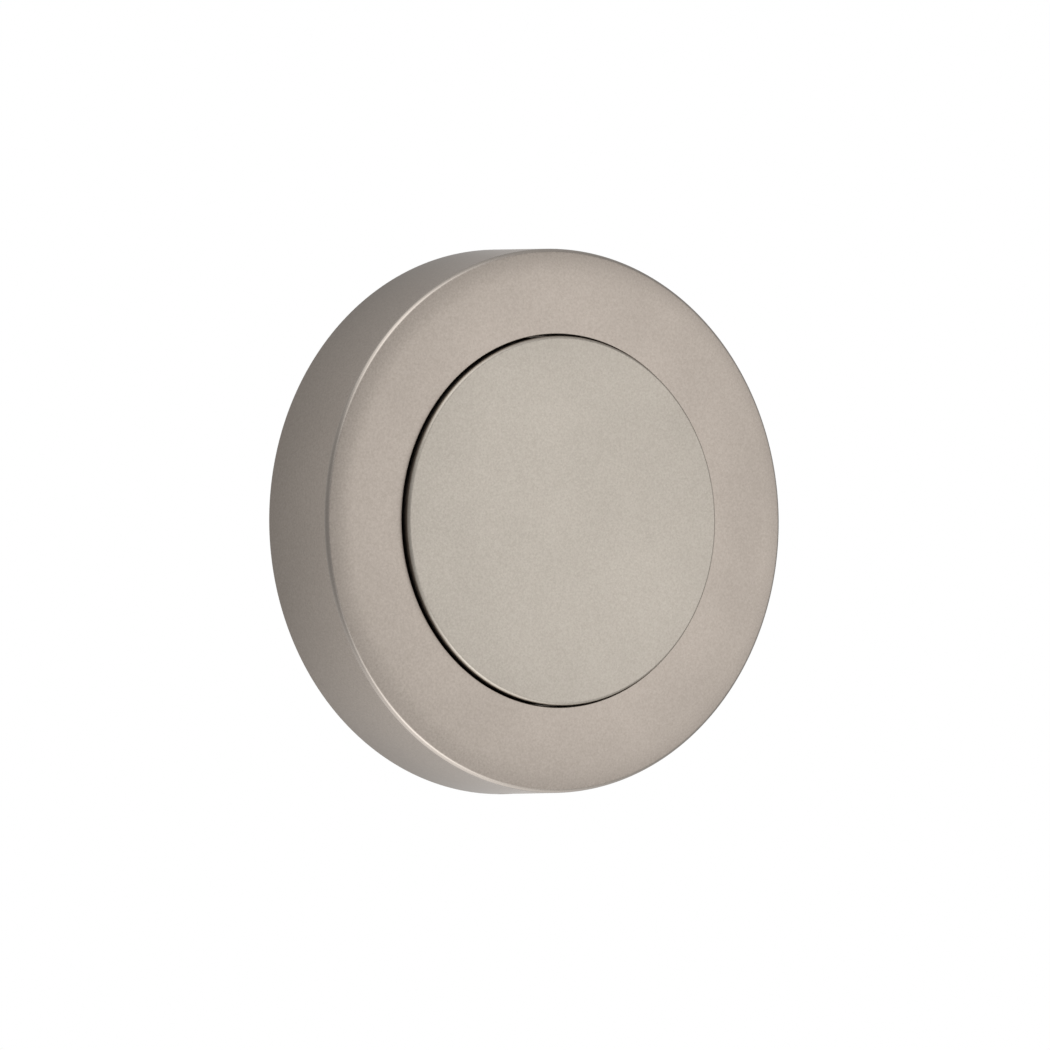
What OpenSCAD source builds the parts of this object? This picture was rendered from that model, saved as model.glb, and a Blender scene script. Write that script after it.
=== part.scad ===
// Door viewer with a round rose on the room side and a magnetic cover disc over the eyepiece.
// A telescoping barrel carries the lenses through the door to a small flange outside.
// Millimetres. The optical axis is Y, the room is at -Y, the street at +Y, and Z is up.
// The origin is on the optical axis, in the plane of the door's inner face.
// Turned parts are drawn as [radius, height]; height counts from the door into the room,
// so everything inside the door and outside it has a negative height.

/* [Rose] */
// Diameter of the rose where it meets the door
rose_d = 52; // [52:1:58]
// Height of the rose face above the door
rose_h = 9.9; // [9.5:0.1:12]
// Diameter lost by the side wall between the door and the face
rose_draft = 0.85; // [0:0.05:1]
// Radius of the gentle crown that leads the face over to its edge
crown_r = 14; // [12:1:24]
// Width of the crown
crown_w = 2.6; // [2:0.1:4]
// Radius of the eased outer edge
edge_r = 0.45; // [0.3:0.05:0.6]

/* [Cover disc] */
// Diameter of the recess the cover disc sits in
recess_d = 35.1; // [34.6:0.1:35.6]
// Gap all round the disc
cover_gap = 0.2; // [0.1:0.05:0.3]
// How far the disc stands above the face, for a fingernail
cover_proud = 0.75; // [0.4:0.05:1.2]
// Radius of the disc's eased edge
cover_edge_r = 0.3; // [0.2:0.05:0.5]

/* [Door] */
// Thickness of the door between the two ends of the viewer; 26 is the barrel screwed right in
door_t = 26; // [26:1:42]
// Diameter of the sleeve in the hole bored through the door
sleeve_d = 14;
// Diameter of the outer barrel's thread
barrel_d = 12;
// Diameter of the flange outside
flange_d = 18; // [17:0.5:22]

/* [Fasteners] */
// Distance between the two wood screws that hold the mounting plate
screw_spacing = 37; // [36:0.5:38]
// Diameter of the wood screws
screw_d = 3.5;
// Length of the wood screws
screw_l = 12; // [12:1:25]

/* [Hidden] */
$fn = 96;
over = 1;

rose_r = rose_d / 2;
recess_r = recess_d / 2;
sleeve_r = sleeve_d / 2;
barrel_r = barrel_d / 2;
screw_r = screw_d / 2;

// Rose casting
skirt_t = 2.1;
face_t = 2.4;
cup_wall = 1.35;
floor_t = 2.6;
recess_depth = 3.8;
floor_h = rose_h - recess_depth;
skirt_r = rose_r - skirt_t;
cup_r = recess_r + cup_wall;
eye_opening_r = 10;

// Mounting plate and the foam behind it
foam_t = 0.5;
plate_t = 2.5;
plate_h = foam_t + plate_t;
plate_r = skirt_r - 0.7;
foam_r = plate_r - 0.4;
neck_r = sleeve_r + 0.4;
neck_gap = 0.1;

// Wood screws: 90 degree heads, flush in the plate
head_r = screw_d;
head_h = plate_h - 0.1;
head_rim_gap = 0.1;
screw_hole_r = 2;
screw_neck_r = 1.25;
screw_tip_l = 2;
screw_point_r = 0.15;
thread_start_h = -0.3;
drive_w = 0.9;
drive_l = 4;
drive_depth = 1.4;

// M3 grub screw with a dog point, pointing up into the edge of the plate
grub_r = 1.5;
grub_l = 4;
grub_sink = 0.15;
dog_r = 0.9;
dog_l = 1.5;
dog_clear = 0.3;
dog_gap = 0.1;
grub_h = foam_t + plate_t / 2;
grub_outer = rose_r - grub_sink - grub_h * rose_draft / 2 / rose_h;
grub_hole_gap = 0.04;
hex_key_w = 1.5;
hex_depth = 1.6;

// Magnets, bumper and keeper
magnet_r = 2.5;
magnet_t = 2;
magnet_count = 4;
magnet_circle_r = 13.2;
magnet_gap = 0.05;
bumper_in_r = 16;
bumper_out_r = 17;
bumper_depth = 0.5;
bumper_stand = 0.3;
bumper_gap = 0.05;
bumper_ease = 0.2;
seat_h = floor_h + bumper_stand;
disc_r = recess_r - cover_gap;
disc_top_h = rose_h + cover_proud;
keeper_r = 15.75;
keeper_t = 1.1;
keeper_gap = 0.05;
keeper_pocket = 1.2;
disc_lead = 0.3;

// Eyepiece sleeve
sleeve_l = 23.5;
sleeve_flange_r = 9.3;
sleeve_flange_t = 1.4;
sleeve_top_h = floor_h - 0.1;
boss_r = 6.6;
bore_gap = 0.06;
web_h = -1.4;
web_t = 1;
web_r = 4.6;
eye_bore_r = 5.6;
slot_w = 2;
slot_in_r = 7.3;
slot_depth = 0.8;

// Eyepiece stack: spacer, lens, ring
eye_fit = 0.05;
eye_part_r = eye_bore_r - eye_fit;
eye_spacer_top_h = 0.6;
eye_lens_rim = 1.6;
eye_lens_top_h = eye_spacer_top_h + eye_lens_rim;
eye_clear_r = 4.6;
eye_dome_r = 10;
eye_dome_edge_r = 4.5;
eye_ring_t = 2.2;
ring_slot_w = 1.2;
ring_slot_depth = 0.7;

// Outer barrel; its heights hang from the door's outer face
gasket_t = 0.6;
gasket_in_r = 6.3;
gasket_out_r = 8.4;
flange_h = -door_t - gasket_t;
flange_r = flange_d / 2;
flange_t = 2.2;
flange_dome_r = 30;
barrel_l = 24.2;
barrel_in_r = 4.9;
lip_t = 1;
lip_r = 4.2;
window_bevel = 0.6;

// Objective stack, listed from the lip towards the room
stack_fit = 0.05;
stack_r = barrel_in_r - stack_fit;
stack_start_h = flange_h - flange_t + lip_t;
seal_t = 0.4;
objective_rim = 3;
objective_dome_r = 7;
objective_dome_edge_r = 3.9;
objective_hollow_r = 4.5;
objective_hollow_edge_r = 3.6;
spacer_ring_t = 0.6;
middle_t = 3.4;
middle_hollow_r = 6;
middle_edge_r = 3.8;
stop_t = 0.5;
stop_hole_r = 1.6;
tube_l = 4.6;
tube_in_r = 4.1;
relay_rim = 1.6;
relay_dome_r = 9;
relay_edge_r = 3.9;
retainer_t = 2.4;
retainer_in_r = 4;
objective_start_h = stack_start_h + seal_t;
spacer_ring_start_h = objective_start_h + objective_rim;
middle_start_h = spacer_ring_start_h + spacer_ring_t;
stop_start_h = middle_start_h + middle_t;
tube_start_h = stop_start_h + stop_t;
relay_start_h = tube_start_h + tube_l;
retainer_start_h = relay_start_h + relay_rim;

nickel = [0.75, 0.72, 0.68];
brass = [0.80, 0.66, 0.36];
steel = [0.62, 0.63, 0.65];
magnet_plating = [0.80, 0.80, 0.82];
blackened = [0.12, 0.12, 0.12];
glass = [0.72, 0.82, 0.86];
rubber = [0.10, 0.10, 0.10];
foam = [0.20, 0.20, 0.21];

// A rectangle between two radii and two heights
module band(in_r, out_r, low_h, high_h) {
    translate([in_r, low_h])
        square([out_r - in_r, high_h - low_h]);
}

// Spins a [radius, height] profile about the optical axis
module turned() {
    rotate([90, 0, 0])
        rotate_extrude()
            children();
}

// Stands a part drawn along Z on the optical axis, pointing into the room
module facing_room(x = 0) {
    translate([x, 0, 0])
        rotate([90, 0, 0])
            children();
}

// What an eased square corner loses; the corner is at [corner_r, corner_h]
module corner_loss(corner_r, corner_h, ease) {
    translate([corner_r - ease, corner_h - ease])
        difference() {
            square(ease + over);
            circle(ease);
        }
}

// Half of a round lens surface: the part of a ball centred on the axis out to edge_r
module dome(ball_r, edge_r, edge_h, up = 1) {
    centre_h = edge_h - up * sqrt(ball_r * ball_r - edge_r * edge_r);
    intersection() {
        translate([0, centre_h])
            circle(ball_r);
        band(0, edge_r, min(edge_h, edge_h + up * ball_r), max(edge_h, edge_h + up * ball_r));
    }
}

module at_screws() {
    for (side = [-1, 1])
        facing_room(side * screw_spacing / 2)
            children();
}

module at_magnets() {
    for (i = [0 : magnet_count - 1])
        rotate([0, (i + 0.5) * 360 / magnet_count, 0])
            facing_room(magnet_circle_r)
                children();
}

// Two notches for a pin spanner across the face of a ring
module spanner_notches(width, in_r, out_r, face_h, depth, turn = 0) {
    for (side = [0, 180])
        rotate([0, side + turn, 0])
            translate([in_r, -face_h - over, -width / 2])
                cube([out_r - in_r + over, depth + over, width]);
}

// The rose's outer half-section: drafted wall, crowned face and an eased edge tangent to both
module rose_outline() {
    crown_start_r = rose_r - rose_draft / 2 - crown_w;
    crown_centre = [crown_start_r, rose_h - crown_r];
    wall_foot = [rose_r, 0];
    wall_dir = [-rose_draft / 2, rose_h] / norm([rose_draft / 2, rose_h]);
    wall_out = [wall_dir[1], -wall_dir[0]];

    // the easing's centre runs parallel to the wall until it also touches the crown
    track = wall_foot - edge_r * wall_out - crown_centre;
    along = track * wall_dir;
    reach = sqrt(along * along - track * track + pow(crown_r - edge_r, 2)) - along;
    ease_centre = crown_centre + track + reach * wall_dir;
    crown_out = (ease_centre - crown_centre) / norm(ease_centre - crown_centre);

    difference() {
        intersection() {
            polygon([[0, 0], wall_foot, [rose_r - rose_draft / 2, rose_h], [0, rose_h]]);
            union() {
                band(0, crown_start_r, 0, rose_h);
                translate(crown_centre)
                    circle(crown_r);
            }
        }
        difference() {
            polygon([
                ease_centre,
                ease_centre + crown_out * over,
                ease_centre + (crown_out + wall_out) * over,
                ease_centre + wall_out * over,
            ]);
            translate(ease_centre)
                circle(edge_r);
        }
    }
}

// Plated casting: the visible ring, its skirt and the cup behind the cover disc
module rose_cover() {
    color(nickel)
        difference() {
            turned()
                difference() {
                    rose_outline();
                    band(0, skirt_r, -over, floor_h - floor_t);
                    band(cup_r, skirt_r, -over, rose_h - face_t);
                    band(0, recess_r, floor_h, rose_h + over);
                    band(0, eye_opening_r, 0, rose_h);
                    band(bumper_in_r - bumper_gap, bumper_out_r + bumper_gap,
                        floor_h - bumper_depth, floor_h + over);
                }
            at_magnets()
                translate([0, 0, floor_h - magnet_t])
                    cylinder(r = magnet_r + magnet_gap, h = magnet_t + over);
            translate([0, -grub_h, -skirt_r + over])
                rotate([180, 0, 0])
                    cylinder(r = grub_r + grub_hole_gap, h = skirt_t + 2 * over);
        }
}

// Lift-off privacy cover, hollowed behind for its steel keeper
module cover_disc() {
    color(nickel)
        turned()
            difference() {
                band(0, disc_r, seat_h, disc_top_h);
                corner_loss(disc_r, disc_top_h, cover_edge_r);
                polygon([
                    [disc_r - disc_lead, seat_h - over],
                    [disc_r + over, seat_h - over],
                    [disc_r + over, seat_h + disc_lead + over],
                    [disc_r - disc_lead, seat_h],
                ]);
                band(0, keeper_r + keeper_gap, seat_h - over, seat_h + keeper_pocket);
            }
}

module cover_keeper() {
    color(steel)
        facing_room()
            translate([0, 0, seat_h + keeper_pocket - keeper_t])
                cylinder(r = keeper_r, h = keeper_t);
}

module cover_magnets() {
    color(magnet_plating)
        at_magnets()
            translate([0, 0, floor_h - magnet_t])
                cylinder(r = magnet_r, h = magnet_t);
}

module cover_bumper() {
    color(rubber)
        turned()
            difference() {
                band(bumper_in_r, bumper_out_r, floor_h - bumper_depth, seat_h);
                corner_loss(bumper_out_r, seat_h, bumper_ease);
            }
}

module mounting_plate() {
    color(steel)
        difference() {
            turned()
                band(neck_r + neck_gap, plate_r, foam_t, plate_h);
            at_screws() {
                cylinder(r = screw_hole_r, h = plate_h + over);
                translate([0, 0, head_h - head_r + screw_hole_r])
                    cylinder(r1 = screw_hole_r, r2 = head_r, h = head_r - screw_hole_r);
                translate([0, 0, head_h])
                    cylinder(r = head_r + head_rim_gap, h = over);
            }
            translate([0, -grub_h, dog_clear + grub_l - grub_outer])
                rotate([180, 0, 0])
                    cylinder(r = dog_r + dog_gap, h = grub_l);
        }
}

// Two countersunk wood screws; the thread is drawn at its outer diameter
module plate_screws() {
    head_taper = head_r - screw_neck_r;
    thread_end_h = head_h - screw_l + screw_tip_l;
    color(steel)
        at_screws()
            difference() {
                union() {
                    translate([0, 0, head_h - head_taper])
                        cylinder(r1 = screw_neck_r, r2 = head_r, h = head_taper);
                    translate([0, 0, thread_start_h])
                        cylinder(r = screw_neck_r, h = head_h - head_taper - thread_start_h);
                    translate([0, 0, thread_end_h])
                        cylinder(r = screw_r, h = thread_start_h - thread_end_h);
                    translate([0, 0, thread_end_h - screw_tip_l])
                        cylinder(r1 = screw_point_r, r2 = screw_r, h = screw_tip_l);
                }
                for (turn = [0, 90])
                    rotate([0, 0, turn])
                        translate([-drive_l / 2, -drive_w / 2, head_h - drive_depth])
                            cube([drive_l, drive_w, drive_depth + over]);
            }
}

module grub_screw() {
    color(steel)
        translate([0, -grub_h, -grub_outer])
            difference() {
                union() {
                    cylinder(r = grub_r, h = grub_l - dog_l);
                    cylinder(r = dog_r, h = grub_l);
                }
                translate([0, 0, -over])
                    cylinder(d = hex_key_w / cos(30), h = hex_depth + over, $fn = 6);
            }
}

// Foam disc between the plate and the door
module door_gasket() {
    color(foam)
        difference() {
            turned()
                band(neck_r + neck_gap, foam_r, 0, foam_t);
            at_screws()
                translate([0, 0, -over])
                    cylinder(r = screw_hole_r, h = foam_t + 2 * over);
        }
}

// Inner half of the barrel: its flange clamps the plate, its bore takes the outer barrel
module eyepiece_sleeve() {
    flange_top_h = plate_h + sleeve_flange_t;
    color(brass)
        difference() {
            turned()
                difference() {
                    union() {
                        band(0, sleeve_r, -sleeve_l, 0);
                        band(0, neck_r, 0, plate_h);
                        band(0, sleeve_flange_r, plate_h, flange_top_h);
                        band(0, boss_r, flange_top_h, sleeve_top_h);
                    }
                    band(0, barrel_r + bore_gap, -sleeve_l - over, web_h);
                    band(0, web_r, web_h - over, sleeve_top_h);
                    band(0, eye_bore_r, web_h + web_t, sleeve_top_h + over);
                }
            spanner_notches(slot_w, slot_in_r, sleeve_flange_r, flange_top_h, slot_depth, 90);
        }
}

module eyepiece_spacer() {
    color(blackened)
        turned()
            band(web_r, eye_part_r, web_h + web_t, eye_spacer_top_h);
}

// Plano-convex lens next to the eye
module eyepiece_lens() {
    color(glass)
        turned() {
            band(0, eye_part_r, eye_spacer_top_h, eye_lens_top_h);
            dome(eye_dome_r, eye_dome_edge_r, eye_lens_top_h);
        }
}

module eyepiece_ring() {
    ring_top_h = eye_lens_top_h + eye_ring_t;
    color(blackened)
        difference() {
            turned()
                band(eye_clear_r, eye_part_r, eye_lens_top_h, ring_top_h);
            spanner_notches(ring_slot_w, eye_clear_r - over, eye_part_r, ring_top_h, ring_slot_depth);
        }
}

// Outer half of the barrel: threaded tube, domed flange and the lip that holds the lenses
module outer_barrel() {
    front_h = flange_h - flange_t;
    bevel_r = lip_r + window_bevel;
    color(nickel)
        turned()
            difference() {
                union() {
                    band(0, barrel_r, flange_h, flange_h + barrel_l);
                    intersection() {
                        band(0, flange_r, front_h, flange_h);
                        translate([0, front_h + flange_dome_r])
                            circle(flange_dome_r);
                    }
                }
                band(0, barrel_in_r, stack_start_h, flange_h + barrel_l + over);
                band(0, lip_r, front_h - over, stack_start_h + over);
                polygon([
                    [0, front_h - over],
                    [bevel_r + over, front_h - over],
                    [lip_r, front_h + window_bevel],
                    [0, front_h + window_bevel],
                ]);
            }
}

module objective_seal() {
    color(rubber)
        turned()
            band(lip_r, stack_r, stack_start_h, objective_start_h);
}

// Outermost lens: domed towards the street, deeply hollow behind
module objective_lens() {
    color(glass)
        turned()
            difference() {
                union() {
                    band(0, stack_r, objective_start_h, spacer_ring_start_h);
                    dome(objective_dome_r, objective_dome_edge_r, objective_start_h, -1);
                }
                dome(objective_hollow_r, objective_hollow_edge_r, spacer_ring_start_h, -1);
            }
}

module spacer_ring() {
    color(blackened)
        turned()
            band(tube_in_r, stack_r, spacer_ring_start_h, middle_start_h);
}

// Lens hollow on both sides
module middle_lens() {
    color(glass)
        turned()
            difference() {
                band(0, stack_r, middle_start_h, stop_start_h);
                dome(middle_hollow_r, middle_edge_r, middle_start_h);
                dome(middle_hollow_r, middle_edge_r, stop_start_h, -1);
            }
}

module aperture_stop() {
    color(blackened)
        turned()
            band(stop_hole_r, stack_r, stop_start_h, tube_start_h);
}

module lens_spacer() {
    color(blackened)
        turned()
            band(tube_in_r, stack_r, tube_start_h, relay_start_h);
}

// Plano-convex lens that hands the picture to the eyepiece
module relay_lens() {
    color(glass)
        turned() {
            band(0, stack_r, relay_start_h, retainer_start_h);
            dome(relay_dome_r, relay_edge_r, retainer_start_h);
        }
}

module objective_ring() {
    ring_top_h = retainer_start_h + retainer_t;
    color(blackened)
        difference() {
            turned()
                band(retainer_in_r, stack_r, retainer_start_h, ring_top_h);
            spanner_notches(ring_slot_w, retainer_in_r - over, stack_r, ring_top_h, ring_slot_depth);
        }
}

module flange_gasket() {
    color(rubber)
        turned()
            band(gasket_in_r, gasket_out_r, flange_h, -door_t);
}

rose_cover();
cover_disc();
cover_keeper();
cover_magnets();
cover_bumper();
mounting_plate();
plate_screws();
grub_screw();
door_gasket();
eyepiece_sleeve();
eyepiece_spacer();
eyepiece_lens();
eyepiece_ring();
outer_barrel();
objective_seal();
objective_lens();
spacer_ring();
middle_lens();
aperture_stop();
lens_spacer();
relay_lens();
objective_ring();
flange_gasket();
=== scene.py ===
"""Looks for the door viewer: satin nickel rose and cover disc, brass barrel, lenses and fixings."""

import math

import bmesh
import bpy
from mathutils import Matrix, Quaternion, Vector


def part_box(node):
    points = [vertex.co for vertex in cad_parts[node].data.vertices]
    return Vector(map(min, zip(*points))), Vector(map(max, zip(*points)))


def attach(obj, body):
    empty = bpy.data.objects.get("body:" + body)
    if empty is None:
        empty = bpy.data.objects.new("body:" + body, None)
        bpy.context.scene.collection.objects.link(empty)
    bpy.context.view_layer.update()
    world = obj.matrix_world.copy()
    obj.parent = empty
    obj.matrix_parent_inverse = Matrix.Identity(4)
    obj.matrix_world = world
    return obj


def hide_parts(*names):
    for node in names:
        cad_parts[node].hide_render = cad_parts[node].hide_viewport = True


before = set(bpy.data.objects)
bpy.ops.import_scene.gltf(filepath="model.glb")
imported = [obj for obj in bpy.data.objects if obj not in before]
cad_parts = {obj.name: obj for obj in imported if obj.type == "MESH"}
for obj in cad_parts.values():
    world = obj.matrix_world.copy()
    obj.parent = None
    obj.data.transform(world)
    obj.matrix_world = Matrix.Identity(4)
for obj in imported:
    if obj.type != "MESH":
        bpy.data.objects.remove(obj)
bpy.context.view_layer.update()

MM = 0.001

# Facets of a full turn: on what the photo shows, on the barrel, on lenses and on small parts.
SEGMENTS, BARREL_SEGMENTS, LENS_SEGMENTS, SMALL_SEGMENTS = 288, 144, 96, 64

# Edges that turn by more than this many degrees are drawn sharp.
SHARP_ANGLE, SCREW_SHARP_ANGLE, LENS_SHARP_ANGLE = 32, 40, 20

# How close two points are when they're merged, and how far cutters reach past a piece.
SAME_POINT, SLIVER = 0.0001 * MM, 0.001 * MM
CLEAR = 1


# ---------------------------------------------------------------- sizes

def size_of(node):
    """Radius, back height and front height of a CAD node in millimetres. Heights count from the
    door's face into the room."""
    low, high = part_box(node)
    return high.x / MM, -high.y / MM, -low.y / MM


ROSE_R, _, ROSE_H = size_of("rose_cover")
DISC_R, DISC_SEAT, DISC_TOP = size_of("cover_disc")
PLATE_R, PLATE_BACK, PLATE_H = size_of("mounting_plate")
FOAM_R, FOAM_BACK, FOAM_H = size_of("door_gasket")
FLANGE_R, FLANGE_FRONT, BARREL_END = size_of("outer_barrel")
SLEEVE_FLANGE_R, SLEEVE_END, SLEEVE_TOP = size_of("eyepiece_sleeve")
STREET_GASKET_BACK = size_of("flange_gasket")[1]

# Sizes that pieces share and that the CAD's boxes don't give, in millimetres.
RECESS_R = DISC_R + 0.2
MAGNET_R, MAGNET_CIRCLE_R = 2.5, 13.2
BARREL_HOLE_R = 7.5
SCREW_X, SCREW_HOLE_R, SCREW_HEAD_R = 18.5, 2.0, 3.5
GRUB_H = (PLATE_BACK + PLATE_H) / 2


# ---------------------------------------------------------------- mesh helpers

def arc(centre_r, centre_h, radius, start, end, steps):
    """Profile points along an arc; angles in degrees, 0 outwards and 90 into the room."""
    points = []
    for i in range(steps + 1):
        angle = math.radians(start + (end - start) * i / steps)
        points.append((centre_r + radius * math.cos(angle), centre_h + radius * math.sin(angle)))
    return points


def on_lathe(radius, height, turn):
    """Where a profile point in millimetres goes after this share of a full turn round the axis."""
    angle = 2 * math.pi * turn
    return radius * math.cos(angle) * MM, -height * MM, radius * math.sin(angle) * MM


def object_from(bm, name, sharp_angle=SHARP_ANGLE):
    """Turns a bmesh into a smooth-shaded object that keeps its sharp edges."""
    mesh = bpy.data.meshes.new(name)
    bmesh.ops.remove_doubles(bm, verts=bm.verts, dist=SAME_POINT)
    bmesh.ops.recalc_face_normals(bm, faces=bm.faces)
    bm.to_mesh(mesh)
    bm.free()
    mesh.shade_smooth()
    mesh.set_sharp_from_angle(angle=math.radians(sharp_angle))
    piece = bpy.data.objects.new(name, mesh)
    bpy.context.scene.collection.objects.link(piece)
    return piece


def lathe(name, outline, thread=None, segments=SEGMENTS, sharp_angle=SHARP_ANGLE):
    """Spins a closed (radius, height) outline in millimetres round the optical axis.
    A thread takes the place of the plain wall between its two ends."""
    bm = bmesh.new()
    rings = []
    for i in range(segments):
        turn = i / segments
        rings.append([bm.verts.new(on_lathe(radius, height, turn)) for radius, height in outline])
    count = len(outline)
    threaded = set(thread.ends()) if thread else set()
    for i in range(segments):
        here, there = rings[i], rings[(i + 1) % segments]
        for j in range(count):
            k = (j + 1) % count
            on_axis = outline[j][0] == 0 and outline[k][0] == 0
            if not on_axis and {outline[j], outline[k]} != threaded:
                bm.faces.new((here[j], here[k], there[k], there[j]))
    if thread:
        thread.add_to(bm, segments)
    return object_from(bm, name, sharp_angle)


class Thread:
    """A helical thread on the wall at one radius, from height low to height high. Its turns reach to
    the far radius and run out at both ends. The pitch is the height of one turn, and point is the
    length of a screw's tapered tip."""

    RUN_OUT = 0.6  # of the pitch, at each end
    TIP_SHARE = 0.12  # of the full radius, at the end of the point

    def __init__(self, wall, far, pitch, low, high, profile, point=0.0):
        self.wall, self.far, self.pitch = wall, far, pitch
        self.low, self.high = low, high
        self.profile, self.point = profile, point

    def radius(self, height, share=0.0):
        """Radius at a height, for a point that has this share of the way from wall to far radius."""
        from_end = min(height - self.low, self.high - height)
        full = min(1.0, from_end / (self.RUN_OUT * self.pitch))
        radius = self.wall + (self.far - self.wall) * share * full
        if self.point:
            from_tip = (height - self.low) / self.point
            radius *= min(1.0, self.TIP_SHARE + (1 - self.TIP_SHARE) * from_tip)
        return radius

    def ends(self):
        """The two outline points that the thread joins, low end first."""
        return [(self.radius(height), height) for height in (self.low, self.high)]

    def add_to(self, bm, segments):
        """Adds the threaded wall. Each row of points follows the helix, so crests are clean lines,
        and rows that would pass an end are held there. Where the last column meets the first, its
        rows join those one turn lower."""
        steps = len(self.profile)
        rows = steps * (math.ceil((self.high - self.low) / self.pitch) + 1)
        columns = []
        for i in range(segments):
            turn = i / segments
            column = []
            for j in range(-1, rows + 1):
                along, share = self.profile[j % steps]
                height = self.low + (j // steps + along - turn) * self.pitch
                height = min(self.high, max(self.low, height))
                column.append(bm.verts.new(on_lathe(self.radius(height, share), height, turn)))
            columns.append(column)
        for i in range(segments):
            here, there = columns[i], columns[(i + 1) % segments]
            lag = steps if i == segments - 1 else 0
            for j in range(lag, rows + 1):
                bm.faces.new((here[j], here[j + 1], there[j + 1 - lag], there[j - lag]))


# One turn of a thread: how far along the pitch, and the share of the way to the far radius there.
# The last point stays below 1 - 1 / segments, or the low end of the wall would be left open.
CUT_THREAD = ((0.05, 0.02), (0.45, 0.97), (0.50, 1.00), (0.55, 0.97), (0.95, 0.02))
WOOD_THREAD = ((0.02, 0.97), (0.15, 0.05), (0.20, 0.00), (0.50, 0.00),
               (0.80, 0.00), (0.85, 0.05), (0.98, 0.97))


def rod(radius, from_point, to_point, segments=SMALL_SEGMENTS, end_radius=None):
    """A round cutter between two points in millimetres, a cone if it has an end radius too."""
    start, end = Vector(from_point) * MM, Vector(to_point) * MM
    far_radius = radius if end_radius is None else end_radius
    bm = bmesh.new()
    bmesh.ops.create_cone(bm, cap_ends=True, segments=segments, radius1=radius * MM,
                          radius2=far_radius * MM, depth=(end - start).length)
    turn = (end - start).to_track_quat("Z", "Y").to_matrix().to_4x4()
    bmesh.ops.transform(bm, matrix=turn, verts=bm.verts)
    bmesh.ops.translate(bm, vec=(start + end) / 2, verts=bm.verts)
    return object_from(bm, "cutter")


def block(low, high, taper=1.0):
    """A box cutter between two corners in millimetres; taper narrows its +Y end across X and Z."""
    centre = [(a + b) / 2 for a, b in zip(low, high)]
    bm = bmesh.new()
    bmesh.ops.create_cube(bm, size=1)
    for v in bm.verts:
        shrink = taper if v.co.y > 0 else 1.0
        for axis in range(3):
            span = (high[axis] - low[axis]) * (1.0 if axis == 1 else shrink)
            v.co[axis] = (centre[axis] + v.co[axis] * span) * MM
    return object_from(bm, "cutter")


def drop_slivers(mesh):
    """Merges the points and edges, too small to see, that cuts leave behind."""
    bm = bmesh.new()
    bm.from_mesh(mesh)
    bmesh.ops.remove_doubles(bm, verts=bm.verts, dist=SLIVER)
    bmesh.ops.dissolve_degenerate(bm, edges=bm.edges, dist=SLIVER)
    bm.to_mesh(mesh)
    bm.free()


def cut(piece, cutters):
    """Cuts every cutter out of a piece for good, then throws the cutters away."""
    for cutter in cutters:
        modifier = piece.modifiers.new("cut", "BOOLEAN")
        modifier.operation = "DIFFERENCE"
        modifier.solver = "EXACT"
        modifier.object = cutter
    graph = bpy.context.evaluated_depsgraph_get()
    mesh = bpy.data.meshes.new_from_object(piece.evaluated_get(graph))
    piece.modifiers.clear()
    piece.data = mesh
    drop_slivers(mesh)
    mesh.set_sharp_from_angle(angle=math.radians(SHARP_ANGLE))
    for cutter in cutters:
        bpy.data.objects.remove(cutter)


# ---------------------------------------------------------------- material helpers

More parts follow.
